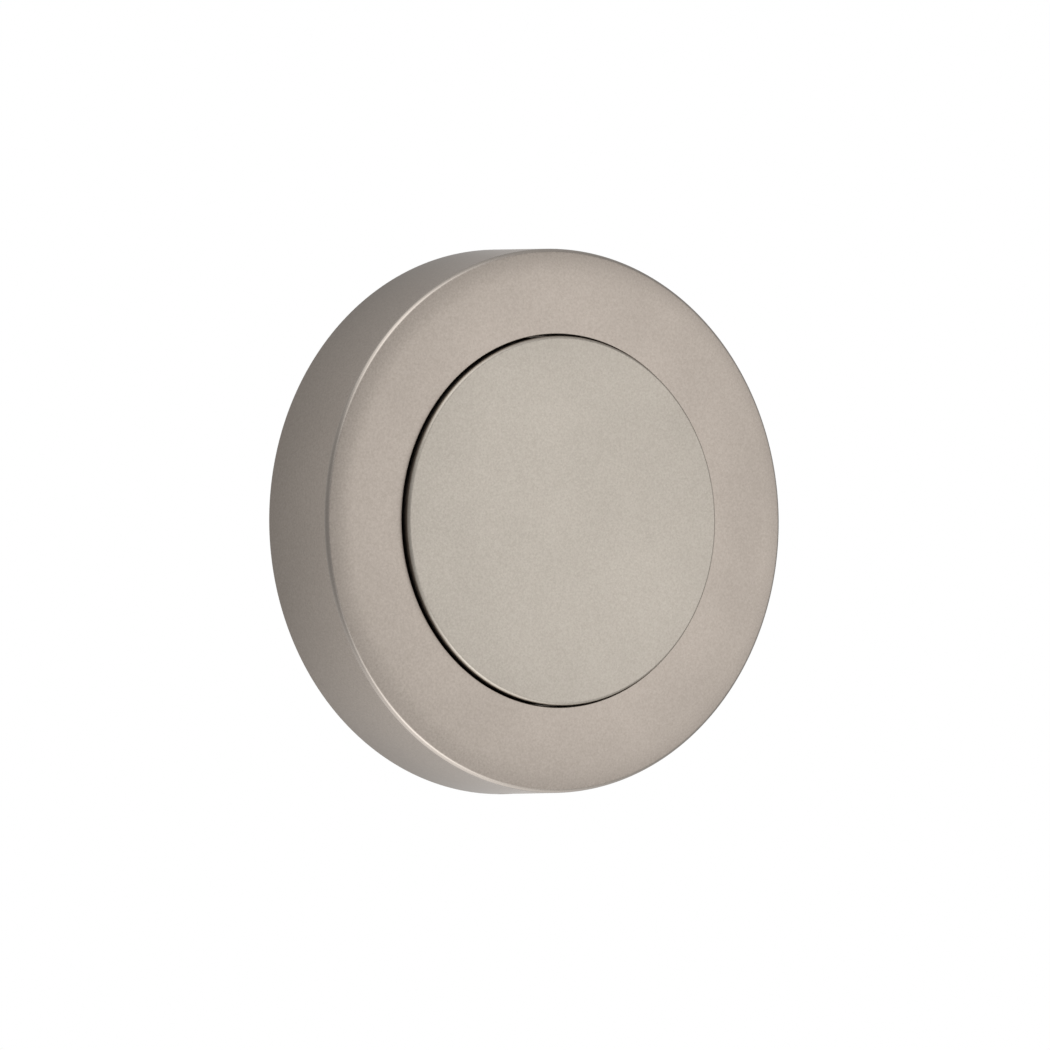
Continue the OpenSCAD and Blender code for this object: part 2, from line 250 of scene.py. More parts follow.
class Graph:
    """Adds nodes to one material or world and links them."""

    def __init__(self, tree):
        self.tree = tree

    def node(self, kind, **settings):
        made = self.tree.nodes.new(kind)
        for key, value in settings.items():
            setattr(made, key, value)
        return made

    def feed(self, socket, value):
        """Sets a socket to a number, colour or vector, or links another node's output to it."""
        if isinstance(value, bpy.types.NodeSocket):
            self.tree.links.new(value, socket)
        else:
            socket.default_value = value

    def math(self, operation, a, b=0.0):
        made = self.node("ShaderNodeMath", operation=operation)
        self.feed(made.inputs[0], a)
        self.feed(made.inputs[1], b)
        return made.outputs[0]

    def spread(self, value, low, high, to_low=0.0, to_high=1.0, smooth=False):
        """Maps low..high onto to_low..to_high, held at the ends."""
        made = self.node("ShaderNodeMapRange", clamp=True)
        made.interpolation_type = "SMOOTHSTEP" if smooth else "LINEAR"
        for socket, number in zip(made.inputs, (value, low, high, to_low, to_high)):
            self.feed(socket, number)
        return made.outputs[0]

    def noise(self, vector, scale, detail=2.0, roughness=0.5):
        made = self.node("ShaderNodeTexNoise")
        self.feed(made.inputs["Vector"], vector)
        self.feed(made.inputs["Scale"], scale)
        self.feed(made.inputs["Detail"], detail)
        self.feed(made.inputs["Roughness"], roughness)
        return made.outputs["Fac"]

    def cells(self, vector, scale):
        made = self.node("ShaderNodeTexVoronoi")
        self.feed(made.inputs["Vector"], vector)
        self.feed(made.inputs["Scale"], scale)
        return made.outputs["Distance"]

    def mix(self, factor, a, b):
        made = self.node("ShaderNodeMix", data_type="RGBA")
        self.feed(made.inputs[0], factor)
        self.feed(made.inputs[6], a)
        self.feed(made.inputs[7], b)
        return made.outputs[2]

    def tint(self, colour, amount):
        """A colour multiplied by a number."""
        made = self.node("ShaderNodeVectorMath", operation="SCALE")
        self.feed(made.inputs[0], colour)
        self.feed(made.inputs["Scale"], amount)
        return made.outputs[0]

    def bump(self, height, strength, distance):
        made = self.node("ShaderNodeBump")
        self.feed(made.inputs["Height"], height)
        made.inputs["Strength"].default_value = strength
        made.inputs["Distance"].default_value = distance * MM
        return made.outputs[0]

    def place(self):
        """The point being shaded, in the object's own frame, in metres."""
        return self.node("ShaderNodeTexCoord").outputs["Object"]

    def stretched(self, vector, scale):
        made = self.node("ShaderNodeMapping")
        self.feed(made.inputs["Vector"], vector)
        made.inputs["Scale"].default_value = scale
        return made.outputs[0]

    def axis_distance(self):
        """Distance from the optical axis, in millimetres."""
        return self.distance_from(0, 0)

    def distance_from(self, x, z):
        """Distance from a line along Y through (x, z), in millimetres."""
        moved = self.node("ShaderNodeVectorMath", operation="SUBTRACT")
        self.feed(moved.inputs[0], self.stretched(self.place(), (1 / MM, 0, 1 / MM)))
        moved.inputs[1].default_value = (x, 0, z)
        length = self.node("ShaderNodeVectorMath", operation="LENGTH")
        self.feed(length.inputs[0], moved.outputs[0])
        return length.outputs["Value"]

    def edge(self):
        """How sharply the surface folds outwards: about 0 on flats and 1 on worn edges."""
        point = self.node("ShaderNodeNewGeometry").outputs["Pointiness"]
        return self.spread(point, 0.51, 0.56, smooth=True)

    def along_axis(self, vector):
        """The part of a vector that lies along the optical axis, positive towards the room."""
        parts = self.node("ShaderNodeSeparateXYZ")
        self.feed(parts.inputs[0], vector)
        return self.math("MULTIPLY", parts.outputs["Y"], -1.0)

    def facing(self):
        """1 on faces square to the optical axis, 0 on side walls."""
        normal = self.node("ShaderNodeTexCoord").outputs["Normal"]
        return self.math("ABSOLUTE", self.along_axis(normal))

    def past_recess(self, inside):
        """1 on the rose outside its recess, and another number in the recess and on the cover disc."""
        return self.spread(self.axis_distance(), RECESS_R + 0.1, RECESS_R + 0.3, inside)

    def painted_wall_shading(self):
        """Painted light and shade on side walls: darker next to the door and lighter at the front, and
        painted shade in the gap round the cover disc; faces stay at 1."""
        at_door, at_front, in_gap = 0.82, 1.12, 0.42
        height = self.math("DIVIDE", self.along_axis(self.place()), MM)
        # Painted shade next to the door and painted light at the front, then painted shade in the gap.
        shade = self.spread(height, 0.0, 9.0, at_door, at_front)
        shade = self.math("MULTIPLY", shade, self.past_recess(in_gap))
        off_wall = self.spread(self.facing(), 0.1, 0.5)
        on_wall = self.math("SUBTRACT", 1.0, off_wall)
        return self.math("ADD", self.math("MULTIPLY", shade, on_wall), off_wall)

    def rounding(self):
        """1 where the rose rounds over from its face to its side wall, 0 everywhere else."""
        facing = self.facing()
        past_wall = self.spread(facing, 0.05, 0.25)
        before_face = self.spread(facing, 0.93, 0.98, 1.0, 0.0)
        between = self.math("MULTIPLY", past_wall, before_face)
        return self.math("MULTIPLY", between, self.past_recess(0.0))


def new_material(name):
    material = bpy.data.materials.new(name)
    material.use_nodes = True
    surface = material.node_tree.nodes["Principled BSDF"]
    return material, Graph(material.node_tree), surface


def colour(red, green, blue):
    return (red, green, blue, 1.0)


# Painted light: the nickel is painted darker outwards from a middle (x, z), a fall-off of the light
# that darkens it by this share at this reach in millimetres; its rounded edge is smoother by
# EDGE_POLISH.
PAINTED_LIGHT_MIDDLE, PAINTED_LIGHT_REACH, PAINTED_LIGHT_FALLOFF = (1.2, 1.4), 17.0, 0.09
EDGE_POLISH = 0.52


def satin_nickel(name, pale, deep):
    """Warm pearl nickel plate: a fine blasted grain, a faint painted fall-off of light from the middle
    outwards, painted light and shade on the side walls, and a smoother rounded edge painted paler for a
    whiter sheen."""
    material, g, surface = new_material(name)
    where = g.place()
    grain = g.noise(where, 5200, 2.5, 0.7)
    blush = g.noise(where, 1900, 2.0, 0.6)
    cloud = g.noise(where, 160, 3.0, 0.5)
    smudge = g.noise(where, 60, 4.0, 0.6)
    base = g.mix(g.spread(grain, 0.3, 0.7), deep, pale)
    base = g.mix(g.spread(blush, 0.35, 0.65, 0.0, 0.08), base, colour(0.56, 0.47, 0.44))
    rounding = g.rounding()
    # Painted sheen: the rounded edge is painted paler and less tinted, so its highlight reads white.
    base = g.mix(g.math("MULTIPLY", rounding, 0.5), base, colour(0.60, 0.55, 0.505))
    # Painted light: darker outwards from the middle.
    from_middle = g.math("DIVIDE", g.distance_from(*PAINTED_LIGHT_MIDDLE), PAINTED_LIGHT_REACH)
    painted_falloff = g.math("MULTIPLY", g.math("POWER", from_middle, 2.0), PAINTED_LIGHT_FALLOFF)
    tone_and_painted_light = g.math("SUBTRACT", 1.0, painted_falloff)
    tone_and_painted_light = g.math("MULTIPLY", tone_and_painted_light, g.spread(cloud, 0.3, 0.7, 0.985, 1.015))
    # Painted light and shade on the side walls and painted shade in the gap round the disc.
    tone_and_painted_light = g.math("MULTIPLY", tone_and_painted_light, g.painted_wall_shading())
    g.feed(surface.inputs["Base Color"], g.tint(base, tone_and_painted_light))
    surface.inputs["Metallic"].default_value = 1.0
    rough = g.math("ADD", g.spread(smudge, 0.35, 0.65, 0.33, 0.39),
                   g.spread(grain, 0.3, 0.7, -0.02, 0.03))
    unpolished = g.math("SUBTRACT", 1.0, g.math("MULTIPLY", rounding, EDGE_POLISH))
    g.feed(surface.inputs["Roughness"], g.math("MULTIPLY", rough, unpolished))
    g.feed(surface.inputs["Normal"], g.bump(grain, 0.12, 0.02))
    return material


def turned_metal(name, dark, light, rough, marks=26000, depth=0.25, worn=0.5):
    """Metal cut on a lathe: fine rings round the axis, a little stain and brighter edges."""
    material, g, surface = new_material(name)
    where = g.place()
    rings = g.noise(g.stretched(where, (0.02, 1.0, 0.02)), marks / 4, 2.0, 0.7)
    face_rings = g.noise(g.math("MULTIPLY", g.axis_distance(), MM), marks / 6, 1.0, 0.5)
    stain = g.noise(where, 240, 4.0, 0.6)
    base = g.mix(g.spread(stain, 0.35, 0.7), dark, light)
    bare = colour(*[min(1.0, 1.25 * channel) for channel in light[:3]])
    base = g.mix(g.math("MULTIPLY", g.edge(), worn), base, bare)
    g.feed(surface.inputs["Base Color"], base)
    surface.inputs["Metallic"].default_value = 1.0
    g.feed(surface.inputs["Roughness"], g.spread(stain, 0.3, 0.7, rough - 0.05, rough + 0.08))
    marks_together = g.math("ADD", rings, face_rings)
    g.feed(surface.inputs["Normal"], g.bump(marks_together, depth, 0.01))
    return material


def zinc_plate(name):
    """Bright zinc on rolled steel: a cool spangle, faint iridescence and a pressed surface."""
    material, g, surface = new_material(name)
    where = g.place()
    spangle = g.cells(where, 900)
    cloud = g.noise(where, 130, 4.0, 0.6)
    fine = g.noise(g.stretched(where, (1.0, 1.0, 6.0)), 3000, 2.0, 0.6)
    base = g.mix(g.spread(cloud, 0.35, 0.65),
                 colour(0.56, 0.58, 0.62), colour(0.66, 0.65, 0.60))
    base = g.tint(base, g.spread(spangle, 0.0, 0.8, 0.92, 1.05))
    g.feed(surface.inputs["Base Color"], base)
    surface.inputs["Metallic"].default_value = 1.0
    g.feed(surface.inputs["Roughness"], g.spread(fine, 0.3, 0.7, 0.26, 0.40))
    g.feed(surface.inputs["Normal"], g.bump(g.math("ADD", spangle, fine), 0.15, 0.02))
    return material


def dark_metal(name, shade, rough):
    """Blackened or oxide-coated metal, greyer where it has been handled."""
    material, g, surface = new_material(name)
    where = g.place()
    speck = g.noise(where, 5000, 3.0, 0.6)
    base = g.mix(g.spread(speck, 0.4, 0.75),
                 colour(shade, shade, shade), colour(2.2 * shade, 2.1 * shade, 2 * shade))
    base = g.mix(g.math("MULTIPLY", g.edge(), 0.5), base, colour(0.25, 0.24, 0.22))
    g.feed(surface.inputs["Base Color"], base)
    surface.inputs["Metallic"].default_value = 0.6
    g.feed(surface.inputs["Roughness"], g.spread(speck, 0.3, 0.7, rough - 0.06, rough + 0.08))
    g.feed(surface.inputs["Normal"], g.bump(speck, 0.2, 0.02))
    return material


def rubber(name):
    """Moulded black rubber with a dusty bloom."""
    material, g, surface = new_material(name)
    where = g.place()
    fine = g.noise(where, 6000, 3.0, 0.6)
    bloom = g.noise(where, 500, 4.0, 0.6)
    base = g.mix(g.spread(bloom, 0.45, 0.75),
                 colour(0.018, 0.018, 0.019), colour(0.05, 0.049, 0.047))
    g.feed(surface.inputs["Base Color"], base)
    g.feed(surface.inputs["Roughness"], g.spread(fine, 0.3, 0.7, 0.55, 0.75))
    g.feed(surface.inputs["Normal"], g.bump(fine, 0.3, 0.03))
    return material


def foam(name):
    """Closed-cell foam: small round cells, with painted shade darker in the pits."""
    material, g, surface = new_material(name)
    where = g.place()
    cell = g.cells(where, 2200)
    grain = g.noise(where, 900, 3.0, 0.6)
    # Painted shade: each cell is darker towards its pit.
    base = g.mix(g.spread(cell, 0.0, 0.6),
                 colour(0.016, 0.016, 0.018), colour(0.06, 0.06, 0.064))
    g.feed(surface.inputs["Base Color"], g.tint(base, g.spread(grain, 0.3, 0.7, 0.85, 1.15)))
    surface.inputs["Roughness"].default_value = 0.9
    g.feed(surface.inputs["Normal"], g.bump(cell, 0.6, 0.08))
    return material


def coated_glass(name):
    """Lens glass with a thin coating that reflects a little colour, and a trace of dust."""
    material, g, surface = new_material(name)
    dust = g.noise(g.place(), 2500, 4.0, 0.7)
    surface.inputs["Base Color"].default_value = colour(0.93, 0.97, 0.97)
    surface.inputs["Transmission Weight"].default_value = 1.0
    surface.inputs["IOR"].default_value = 1.52
    surface.inputs["Thin Film Thickness"].default_value = 380
    surface.inputs["Thin Film IOR"].default_value = 1.38
    g.feed(surface.inputs["Roughness"], g.spread(dust, 0.5, 0.8, 0.0, 0.12))
    return material


DISC_NICKEL = satin_nickel("satin_nickel_disc", colour(0.598, 0.551, 0.485), colour(0.462, 0.419, 0.363))
ROSE_NICKEL = satin_nickel("satin_nickel_rose", colour(0.612, 0.543, 0.480), colour(0.473, 0.413, 0.359))
BRASS = turned_metal("machined_brass", colour(0.56, 0.40, 0.17), colour(0.68, 0.51, 0.24), 0.27)
PLATED_BRASS = turned_metal("nickel_on_brass", colour(0.47, 0.43, 0.37), colour(0.56, 0.52, 0.46), 0.30)
MAGNET = turned_metal("bright_nickel", colour(0.60, 0.59, 0.58), colour(0.68, 0.67, 0.66), 0.16,
                      depth=0.08, worn=0.0)
ZINC = zinc_plate("zinc_on_steel")
BLACKENED = dark_metal("blackened_brass", 0.02, 0.55)
OXIDE = dark_metal("black_oxide", 0.03, 0.40)
RUBBER = rubber("black_rubber")
FOAM = foam("closed_cell_foam")
GLASS = coated_glass("coated_glass")


# ---------------------------------------------------------------- pieces

def dress(piece, material, body, node):
    """Gives a new piece its material and its body, and hides the CAD node it stands for."""
    normals = piece.modifiers.new("flat faces stay flat", "WEIGHTED_NORMAL")
    normals.keep_sharp = True
    piece.data.materials.clear()
    piece.data.materials.append(material)
    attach(piece, body)
    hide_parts(node)
    return piece


def rose_face():
    """Profile of the rose's eased front edge and crowned face, from the side wall to where the face
    is flat. The edge's arc touches the drafted wall and the crown's arc."""
    draft, ease = 0.425, 0.45
    crown_r, crown_w = 14.0, 2.6
    crown_start = ROSE_R - draft - crown_w
    crown_h = ROSE_H - crown_r
    wall = Vector((-draft, ROSE_H)).normalized()
    out = Vector((wall.y, -wall.x))
    track = Vector((ROSE_R, 0)) - ease * out - Vector((crown_start, crown_h))
    along = track.dot(wall)
    reach = math.sqrt(along ** 2 - track.length_squared + (crown_r - ease) ** 2) - along
    centre = Vector((crown_start, crown_h)) + track + reach * wall
    tilt = math.degrees(math.atan2(centre.y - crown_h, centre.x - crown_start))
    wall_tilt = math.degrees(math.atan2(out.y, out.x))
    points = arc(centre.x, centre.y, ease, wall_tilt, tilt, 12)
    return points + arc(crown_start, crown_h, crown_r, tilt, 90, 16)[1:]


def magnet_places():
    """The (x, z) of the four magnets round the recess floor, in millimetres."""
    angles = [math.radians(45 + 90 * i) for i in range(4)]
    return [(MAGNET_CIRCLE_R * math.cos(angle), MAGNET_CIRCLE_R * math.sin(angle)) for angle in angles]


def make_rose_cover():
    """The rose: a drafted wall and crowned face, a recess for the disc with a groove for the bumper
    and pockets for the magnets, and a skirt that slips over the mounting plate."""
    skirt_r, cup_r, eye_r = ROSE_R - 2.1, RECESS_R + 1.35, 10.0
    floor_h, floor_back, face_back = ROSE_H - 3.8, ROSE_H - 6.4, ROSE_H - 2.4
    groove_in, groove_out, groove_h = 15.95, 17.05, floor_h - 0.5
    foot, lip, ease, root = 0.15, 0.08, 0.2, 0.4
    outline = arc(ROSE_R - foot, foot, foot, -90, 0, 3) + rose_face()
    outline += arc(RECESS_R + lip, ROSE_H - lip, lip, 90, 180, 3)
    outline += [(RECESS_R, floor_h), (groove_out, floor_h)]
    outline += [(groove_out, groove_h), (groove_in, groove_h), (groove_in, floor_h)]
    outline += arc(eye_r + ease, floor_h - ease, ease, 90, 180, 3)
    outline += [(eye_r, floor_back), (cup_r - ease, floor_back)]
    outline += arc(cup_r - ease, floor_back + ease, ease, -90, 0, 3)
    outline += arc(cup_r + root, face_back - root, root, 180, 90, 4)
    outline += arc(skirt_r - root, face_back - root, root, 90, 0, 4)
    outline += [(skirt_r, ease), (skirt_r + ease, 0.0)]
    piece = lathe("rose_cover_shell", outline)
    pocket_r, pocket_depth, grub_hole_r = MAGNET_R + 0.05, 2.0, 1.54
    cutters = []
    for x, z in magnet_places():
        cutters.append(rod(pocket_r, (x, -(floor_h - pocket_depth), z), (x, -(floor_h + CLEAR), z)))
    inside, outside = -(skirt_r - CLEAR), -(ROSE_R + CLEAR)
    cutters.append(rod(grub_hole_r, (0, -GRUB_H, inside), (0, -GRUB_H, outside), 48))
    cut(piece, cutters)
    return dress(piece, ROSE_NICKEL, "room_side", "rose_cover")


def make_cover_disc():
    """The cover disc: an eased front edge, a chamfer that leads it in, and a seat for the keeper. Its
    face has a few rings of points, so that its flat facets aren't long and thin."""
    ease, lead, chamfer = 0.3, 0.3, 0.1
    keeper_r, keeper_top = 15.8, DISC_SEAT + 1.2
    outline = [(DISC_R - lead, DISC_SEAT), (DISC_R, DISC_SEAT + lead)]
    outline += arc(DISC_R - ease, DISC_TOP - ease, ease, 0, 90, 10)
    outline += [(radius, DISC_TOP) for radius in (14.0, 10.0, 6.0, 2.0, 0.0)]
    outline += [(0.0, keeper_top), (keeper_r - chamfer, keeper_top), (keeper_r, keeper_top - chamfer)]
    outline += [(keeper_r, DISC_SEAT + chamfer), (keeper_r + chamfer, DISC_SEAT)]
    piece = lathe("cover_disc_turned", outline)
    return dress(piece, DISC_NICKEL, "cover", "cover_disc")


def make_mounting_plate():
    """Pressed steel plate: the barrel's hole, two countersunk holes and a dimple for the grub screw."""
    ease, hole_ease, burr = 0.25, 0.15, 0.1
    outline = arc(PLATE_R - ease, PLATE_H - ease, ease, 0, 90, 3)
    outline += arc(BARREL_HOLE_R + hole_ease, PLATE_H - hole_ease, hole_ease, 90, 180, 3)
    outline += [(BARREL_HOLE_R, PLATE_BACK), (PLATE_R - burr, PLATE_BACK), (PLATE_R, PLATE_BACK + burr)]
    piece = lathe("mounting_plate_pressed", outline)
    sink_tip_r, sink_r = 1.5, SCREW_HEAD_R + 0.15
    sink_foot, sink_top = PLATE_H - 2.1, PLATE_H + 0.05
    dimple_r, dimple_end = 1.0, 21.5
    cutters = []
    for x in (-SCREW_X, SCREW_X):
        cutters.append(rod(SCREW_HOLE_R, (x, 0, 0), (x, -PLATE_H - CLEAR, 0), 48))
        cutters.append(rod(sink_tip_r, (x, -sink_foot, 0), (x, -sink_top, 0), end_radius=sink_r))
    cutters.append(rod(dimple_r, (0, -GRUB_H, -dimple_end), (0, -GRUB_H, -PLATE_R - CLEAR), 32))
    cut(piece, cutters)
    return dress(piece, ZINC, "room_side", "mounting_plate")


def make_door_gasket():
    """Foam disc with soft edges, and holes for the barrel and the two plate screws."""
    soft = 0.12
    outline = arc(FOAM_R - soft, FOAM_H - soft, soft, 0, 90, 3)
    outline += [(BARREL_HOLE_R, FOAM_H), (BARREL_HOLE_R, FOAM_BACK)]
    outline += arc(FOAM_R - soft, FOAM_BACK + soft, soft, -90, 0, 3)
    piece = lathe("door_gasket_foam", outline)
    cut(piece, [rod(SCREW_HOLE_R, (x, CLEAR, 0), (x, -2 * CLEAR, 0), 48) for x in (-SCREW_X, SCREW_X)])
    return dress(piece, FOAM, "room_side", "door_gasket")


def make_sleeve():
    """Brass sleeve: plain outside, threaded bore, a flange with two spanner slots."""
    outer, neck, boss, bore, groove, web, eye = 7.0, 7.4, 6.6, 6.06, 6.4, 4.6, 5.6
    web_h, web_front, flange_top = -1.4, -0.4, PLATE_H + 1.4
    burr, flange_ease, boss_ease, eye_lead, end_lead = 0.15, 0.35, 0.25, 0.2, 0.4
    thread = Thread(bore, groove, 1.0, SLEEVE_END + 0.5, web_h - 0.6, CUT_THREAD)
    outline = [(outer, 0.0), (neck, 0.0), (neck, PLATE_H)]
    outline += [(SLEEVE_FLANGE_R - burr, PLATE_H), (SLEEVE_FLANGE_R, PLATE_H + burr)]
    outline += arc(SLEEVE_FLANGE_R - flange_ease, flange_top - flange_ease, flange_ease, 0, 90, 4)
    outline += [(boss, flange_top)]
    outline += arc(boss - boss_ease, SLEEVE_TOP - boss_ease, boss_ease, 0, 90, 4)
    outline += [(eye + eye_lead, SLEEVE_TOP), (eye, SLEEVE_TOP - eye_lead), (eye, web_front)]
    outline += [(web, web_front), (web, web_h), (bore, web_h)]
    outline += reversed(thread.ends())
    outline += [(bore + end_lead, SLEEVE_END), (outer - end_lead, SLEEVE_END)]
    outline += [(outer, SLEEVE_END + end_lead)]
    piece = lathe("eyepiece_sleeve_turned", outline, thread, BARREL_SEGMENTS)
    slot_in, slot_out, slot_half, slot_depth = 7.3, 10.5, 1.0, 0.8
    above, floor = -flange_top - CLEAR, -flange_top + slot_depth
    slots = []
    for side in (-1, 1):
        near, far = sorted((side * slot_in, side * slot_out))
        slots.append(block((-slot_half, above, near), (slot_half, floor, far)))
    cut(piece, slots)
    return dress(piece, BRASS, "room_side", "eyepiece_sleeve")


def make_outer_barrel():
    """Outer barrel: M12 thread, domed flange and a bevelled window for the lens."""
    crest, root, bore = 6.0, 5.42, 4.9
    lip, lip_front, lip_back, bevel, bevel_depth = 4.2, 0.6, 1.0, 0.6, 0.35
    front, under = FLANGE_FRONT, STREET_GASKET_BACK
    relief_r, relief_w, burr, end_lead = root + 0.1, 0.9, 0.12, 0.5
    dome, dome_edge, rim_ease, rim_turn = 30.0, FLANGE_R - 0.25, 0.3, -68
    rim_h = front + dome - math.sqrt(dome ** 2 - FLANGE_R ** 2)
    thread = Thread(crest, root, 1.0, under + 1.2, BARREL_END - 0.3, CUT_THREAD)
    outline = list(reversed(thread.ends()))
    outline += [(relief_r, under + relief_w), (relief_r, under)]
    outline += [(FLANGE_R - burr, under), (FLANGE_R, under - burr)]
    outline += arc(FLANGE_R - rim_ease, rim_h + rim_ease, rim_ease, 0, rim_turn, 6)
    from_angle = math.degrees(math.asin(dome_edge / dome)) - 90
    to_angle = math.degrees(math.asin((lip + bevel + 0.1) / dome)) - 90
    outline += arc(0, front + dome, dome, from_angle, to_angle, 16)
    outline += [(lip + bevel, front + bevel_depth), (lip, front + lip_front)]
    outline += [(lip, front + lip_back), (bore, front + lip_back), (bore, BARREL_END)]
    outline += [(crest - end_lead, BARREL_END)]
    piece = lathe("outer_barrel_threaded", outline, thread, BARREL_SEGMENTS)
    return dress(piece, PLATED_BRASS, "street_side", "outer_barrel")


def wood_screw(x):
    """One countersunk wood screw with a coarse thread and a cross recess."""
    crest, root, neck = 1.75, 1.15, 1.25
    head_h, rim = PLATE_H - 0.1, 0.1
    tip, thread_top = size_of("plate_screws")[1], -0.3
    thread = Thread(root, crest, 1.5, tip + 0.1, thread_top, WOOD_THREAD, point=2.2)
    outline = [(0.0, tip)] + thread.ends()
    outline += [(neck, thread_top + 0.1), (neck, head_h - (SCREW_HEAD_R - neck))]
    outline += [(SCREW_HEAD_R - rim, head_h - rim), (SCREW_HEAD_R - rim, head_h), (0.0, head_h)]
    piece = lathe("wood_screw", outline, thread, SMALL_SEGMENTS, SCREW_SHARP_ANGLE)
    arm, arm_half, taper = 2.0, 0.45, 0.6
    above, bottom = -head_h - 0.5, -head_h + 1.4
    cut(piece, [
        block((-arm, above, -arm_half), (arm, bottom, arm_half), taper),
        block((-arm_half, above, -arm), (arm_half, bottom, arm), taper),
    ])
    piece.data.transform(Matrix.Translation((x * MM, 0, 0)))
    return piece


def make_plate_screws():
    """Both wood screws, as one piece."""
    left, right = wood_screw(-SCREW_X), wood_screw(SCREW_X)
    bm = bmesh.new()
    bm.from_mesh(left.data)
    bm.from_mesh(right.data)
    for part in (left, right):
        bpy.data.objects.remove(part)
    piece = object_from(bm, "plate_screws_threaded", SCREW_SHARP_ANGLE)
    return dress(piece, ZINC, "room_side", "plate_screws")


def ring_outline(in_r, out_r, back_h, front_h, ease):
    """Section of a ring with eased edges, or of a disc if in_r is 0. A point next to each edge keeps
    the flat faces flat when the edges are shaded smooth."""
    hold = 1.6 * ease
    outline = [(out_r - hold, back_h)] + arc(out_r - ease, back_h + ease, ease, -90, 0, 4)
    outline += arc(out_r - ease, front_h - ease, ease, 0, 90, 4) + [(out_r - hold, front_h)]
    if in_r == 0:
        return outline + [(0.0, front_h), (0.0, back_h)]
    outline += [(in_r + hold, front_h)] + arc(in_r + ease, front_h - ease, ease, 90, 180, 4)
    return outline + arc(in_r + ease, back_h + ease, ease, 180, 270, 4) + [(in_r + hold, back_h)]


def make_turned_rings():
    """The rings, washers and discs, each the size of its CAD node. Each has its inner radius and the
    size of its eased edges. The two rings that hold lenses get a slot across for a spanner."""
    rings = [
        ("cover_keeper", 0.0, 0.15, ZINC, "cover", "zinc_steel"),
        ("cover_bumper", 16.0, 0.20, RUBBER, "room_side", "black_rubber"),
        ("eyepiece_spacer", 4.6, 0.08, BLACKENED, "room_side", "blackened_brass"),
        ("eyepiece_ring", 4.6, 0.15, BLACKENED, "room_side", "blackened_brass"),
        ("flange_gasket", 6.3, 0.15, RUBBER, "outer_gasket", "black_rubber"),
        ("objective_seal", 4.2, 0.10, RUBBER, "street_side", "black_rubber"),
        ("spacer_ring", 4.1, 0.08, BLACKENED, "street_side", "blackened_brass"),
        ("aperture_stop", 1.6, 0.10, BLACKENED, "street_side", "blackened_brass"),
        ("lens_spacer", 4.1, 0.12, BLACKENED, "street_side", "blackened_brass"),
        ("objective_ring", 4.0, 0.15, BLACKENED, "street_side", "blackened_brass"),
    ]
    slotted = ("eyepiece_ring", "objective_ring")
    slot_half, slot_depth = 0.6, 0.7
    for name, in_r, ease, material, body, slot in rings:
        out_r, back_h, front_h = size_of(name)
        outline = ring_outline(in_r, out_r, back_h, front_h, ease)
        piece = lathe(name + "_turned", outline, segments=BARREL_SEGMENTS)
        if name in slotted:
            cut(piece, [block((-slot_half, -front_h - CLEAR, -out_r - CLEAR),
                              (slot_half, -front_h + slot_depth, out_r + CLEAR))])
        dress(piece, material, body, name)


def make_magnets():
    """Four plated disc magnets with eased rims, in the pockets of the recess floor."""
    ease = 0.2
    _, back_h, front_h = size_of("cover_magnets")
    outline = ring_outline(0.0, MAGNET_R, back_h, front_h, ease)
    bm = bmesh.new()
    for x, z in magnet_places():
        magnet = lathe("magnet", outline, segments=SMALL_SEGMENTS)
        magnet.data.transform(Matrix.Translation(Vector((x, 0, z)) * MM))
        bm.from_mesh(magnet.data)
        bpy.data.objects.remove(magnet)
    piece = object_from(bm, "cover_magnets_plated")
    return dress(piece, MAGNET, "room_side", "cover_magnets")


def make_grub_screw():
    """M3 grub screw with a threaded barrel, a dog point and a hexagon socket."""
    crest, root, dog = 1.5, 1.22, 0.9
    chamfer, dog_chamfer = 0.25, 0.15
    low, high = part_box("grub_screw")
    foot, tip, axis_y = low.z / MM, high.z / MM, (low.y + high.y) / 2 / MM
    shoulder = tip - 1.5
    thread = Thread(crest, root, 0.5, foot + 0.3, shoulder - 0.3, CUT_THREAD)
    outline = [(0.0, foot), (crest - chamfer, foot), (crest, foot + chamfer)]
    outline += thread.ends()
    outline += [(crest - chamfer, shoulder), (dog, shoulder), (dog, tip - dog_chamfer)]
    outline += [(dog - dog_chamfer, tip), (0.0, tip)]
    piece = lathe("grub_screw_threaded", outline, thread, SMALL_SEGMENTS)
    half_flats, socket_depth = 0.75, 1.6
    socket_r = half_flats / math.cos(math.radians(30))
    cut(piece, [rod(socket_r, (0, -foot + CLEAR, 0), (0, -foot - socket_depth, 0), 6)])
    turn = Matrix.Rotation(math.radians(-90), 4, "X")
    piece.data.transform(Matrix.Translation((0, axis_y * MM, 0)) @ turn)
    return dress(piece, OXIDE, "room_side", "grub_screw")


def sag(ball_r, edge_r):
    """How far a ball's surface falls away between its axis and this radius."""
    return ball_r - math.sqrt(ball_r ** 2 - edge_r ** 2)


def lens_face(height, surface):
    """Profile of one side of a lens from its edge to the axis; surface is None if it is flat."""
    if surface is None:
        return [(0.0, height)]
    ball_r, edge_r, towards_room = surface
    centre_h = height - towards_room * (ball_r - sag(ball_r, edge_r))
    steps, edge_angle = 20, math.asin(edge_r / ball_r)
    points = []
    for i in range(steps + 1):
        angle = edge_angle * (1 - i / steps)
        points.append((ball_r * math.sin(angle), centre_h + towards_room * ball_r * math.cos(angle)))
    return points


